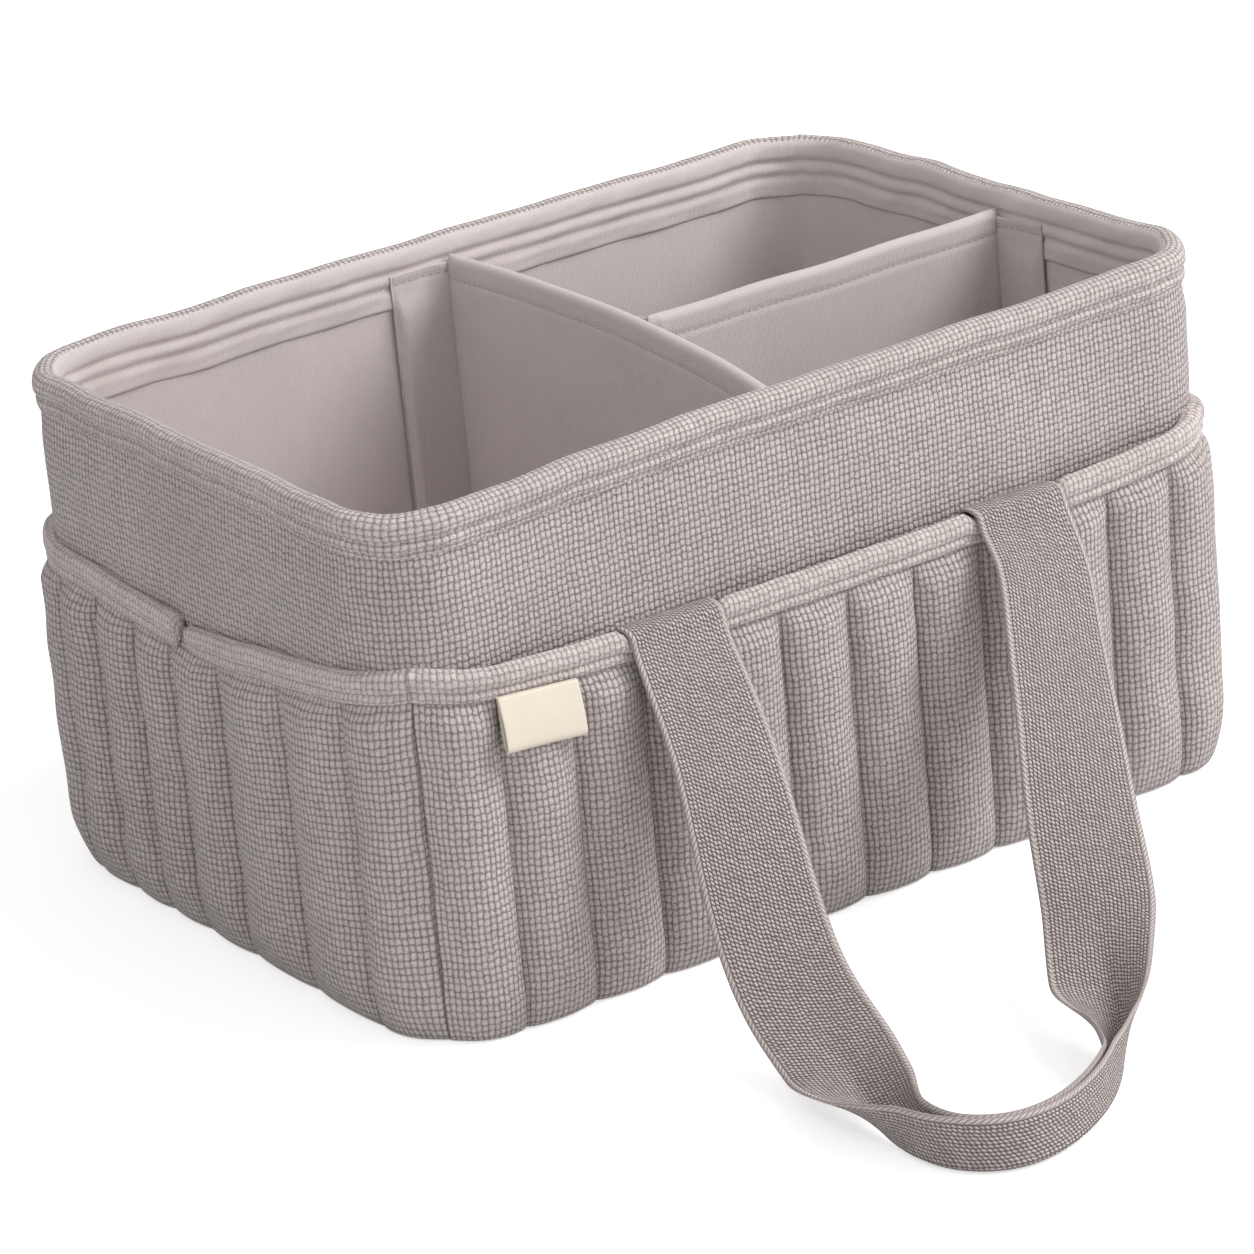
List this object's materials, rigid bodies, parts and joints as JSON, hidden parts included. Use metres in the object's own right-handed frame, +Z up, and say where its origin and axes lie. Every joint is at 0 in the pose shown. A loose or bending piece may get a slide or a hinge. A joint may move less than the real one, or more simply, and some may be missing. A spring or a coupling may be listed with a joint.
{
  "type": "diaper caddy",
  "caption": "Open padded cloth box with quilted outside pockets, two fold-down webbing handles and removable dividers, for nursery supplies.",
  "frame": {"origin": "on the floor, at the middle of the base", "axes": "+Z up, +X along the box to the right as seen from the front, +Y towards the rear; the tag and the front handle are on the -Y side"},
  "size_m": [0.3844, 0.6896, 0.2],
  "materials": {
    "waffle_cloth": "matt waffle-knit cloth with small raised cells, taupe",
    "lining_cloth": "fine plain weave, matt, slightly darker taupe",
    "webbing": "herringbone webbing with firm selvages, matt",
    "foam": "white open foam, hidden between the cloths",
    "board": "plain grey stiffening board, hidden",
    "tag": "blank cream leather-look tag, smooth and matt",
    "fastener_tape": "matt hook-and-loop tape"
  },
  "bodies": {
    "caddy": {"base_cloth": "waffle_cloth", "base_board": "board", "floor_lining": "lining_cloth", "outer_shell_cloth": "waffle_cloth", "front_wall_foam": "foam", "right_wall_foam": "foam", "rear_wall_foam": "foam", "left_wall_foam": "foam", "wall_lining": "lining_cloth", "rim_binding": "waffle_cloth", "front_pocket_panel": "waffle_cloth", "right_pocket_panel": "waffle_cloth", "rear_pocket_panel": "waffle_cloth", "left_pocket_panel": "waffle_cloth", "front_pocket_hem": "waffle_cloth", "right_pocket_hem": "waffle_cloth", "rear_pocket_hem": "waffle_cloth", "left_pocket_hem_rear": "waffle_cloth", "left_pocket_hem_front": "waffle_cloth", "front_handle_left_bend": "webbing", "front_handle_left_anchor": "webbing", "front_handle_right_bend": "webbing", "front_handle_right_anchor": "webbing", "rear_handle_left_bend": "webbing", "rear_handle_left_anchor": "webbing", "rear_handle_right_bend": "webbing", "rear_handle_right_anchor": "webbing", "cross_divider_rear_loop_strip": "fastener_tape", "cross_divider_front_loop_strip": "fastener_tape", "long_divider_right_loop_strip": "fastener_tape"},
    "front_handle": {"front_handle_loop": "webbing"},
    "rear_handle": {"rear_handle_loop": "webbing"},
    "label_tag": {"label_tag": "tag"},
    "cross_divider": {"cross_divider_cover": "lining_cloth", "cross_divider_board": "board", "long_divider_left_loop_strip": "fastener_tape"},
    "long_divider": {"long_divider_cover": "lining_cloth", "long_divider_board": "board"},
    "cross_divider_rear_tab": {"cross_divider_rear_tab": "lining_cloth", "cross_divider_rear_hook_strip": "fastener_tape"},
    "cross_divider_front_tab": {"cross_divider_front_tab": "lining_cloth", "cross_divider_front_hook_strip": "fastener_tape"},
    "long_divider_right_tab": {"long_divider_right_tab": "lining_cloth", "long_divider_right_hook_strip": "fastener_tape"},
    "long_divider_left_tab": {"long_divider_left_tab": "lining_cloth", "long_divider_left_hook_strip": "fastener_tape"}
  },
  "joints": [
    {"name": "front_handle_swing", "type": "hinge", "parent": "caddy", "child": "front_handle", "pos_m": [0.001, -0.1334, 0.1362], "axis": [-1, 0, 0], "range_deg": [0, 115], "deforming": ["front_handle_left_bend", "front_handle_right_bend"]},
    {"name": "rear_handle_swing", "type": "hinge", "parent": "caddy", "child": "rear_handle", "pos_m": [-0.001, 0.1334, 0.1354], "axis": [1, 0, 0], "range_deg": [0, 115], "deforming": ["rear_handle_left_bend", "rear_handle_right_bend"]},
    {"name": "label_tag_flap", "type": "hinge", "parent": "caddy", "child": "label_tag", "pos_m": [-0.136, -0.138, 0.1267], "axis": [-1, 0, 0], "range_deg": [0, 85]},
    {"name": "cross_divider_lift", "type": "slide", "parent": "caddy", "child": "cross_divider", "axis": [0, 0, 1], "range_m": [0, 0.2]},
    {"name": "long_divider_lift", "type": "slide", "parent": "caddy", "child": "long_divider", "axis": [0, 0, 1], "range_m": [0, 0.2]},
    {"name": "cross_divider_rear_tab_peel", "type": "hinge", "parent": "cross_divider", "child": "cross_divider_rear_tab", "pos_m": [0.0034, 0.1152, 0.097], "axis": [0, 0, 1], "range_deg": [0, 80]},
    {"name": "cross_divider_front_tab_peel", "type": "hinge", "parent": "cross_divider", "child": "cross_divider_front_tab", "pos_m": [-0.0125, -0.1152, 0.097], "axis": [0, 0, -1], "range_deg": [0, 80]},
    {"name": "long_divider_right_tab_peel", "type": "hinge", "parent": "long_divider", "child": "long_divider_right_tab", "pos_m": [0.1687, -0.0106, 0.097], "axis": [0, 0, -1], "range_deg": [0, 80]},
    {"name": "long_divider_left_tab_peel", "type": "hinge", "parent": "long_divider", "child": "long_divider_left_tab", "pos_m": [0.0174, -0.0034, 0.097], "axis": [0, 0, -1], "range_deg": [0, 80]}
  ]
}
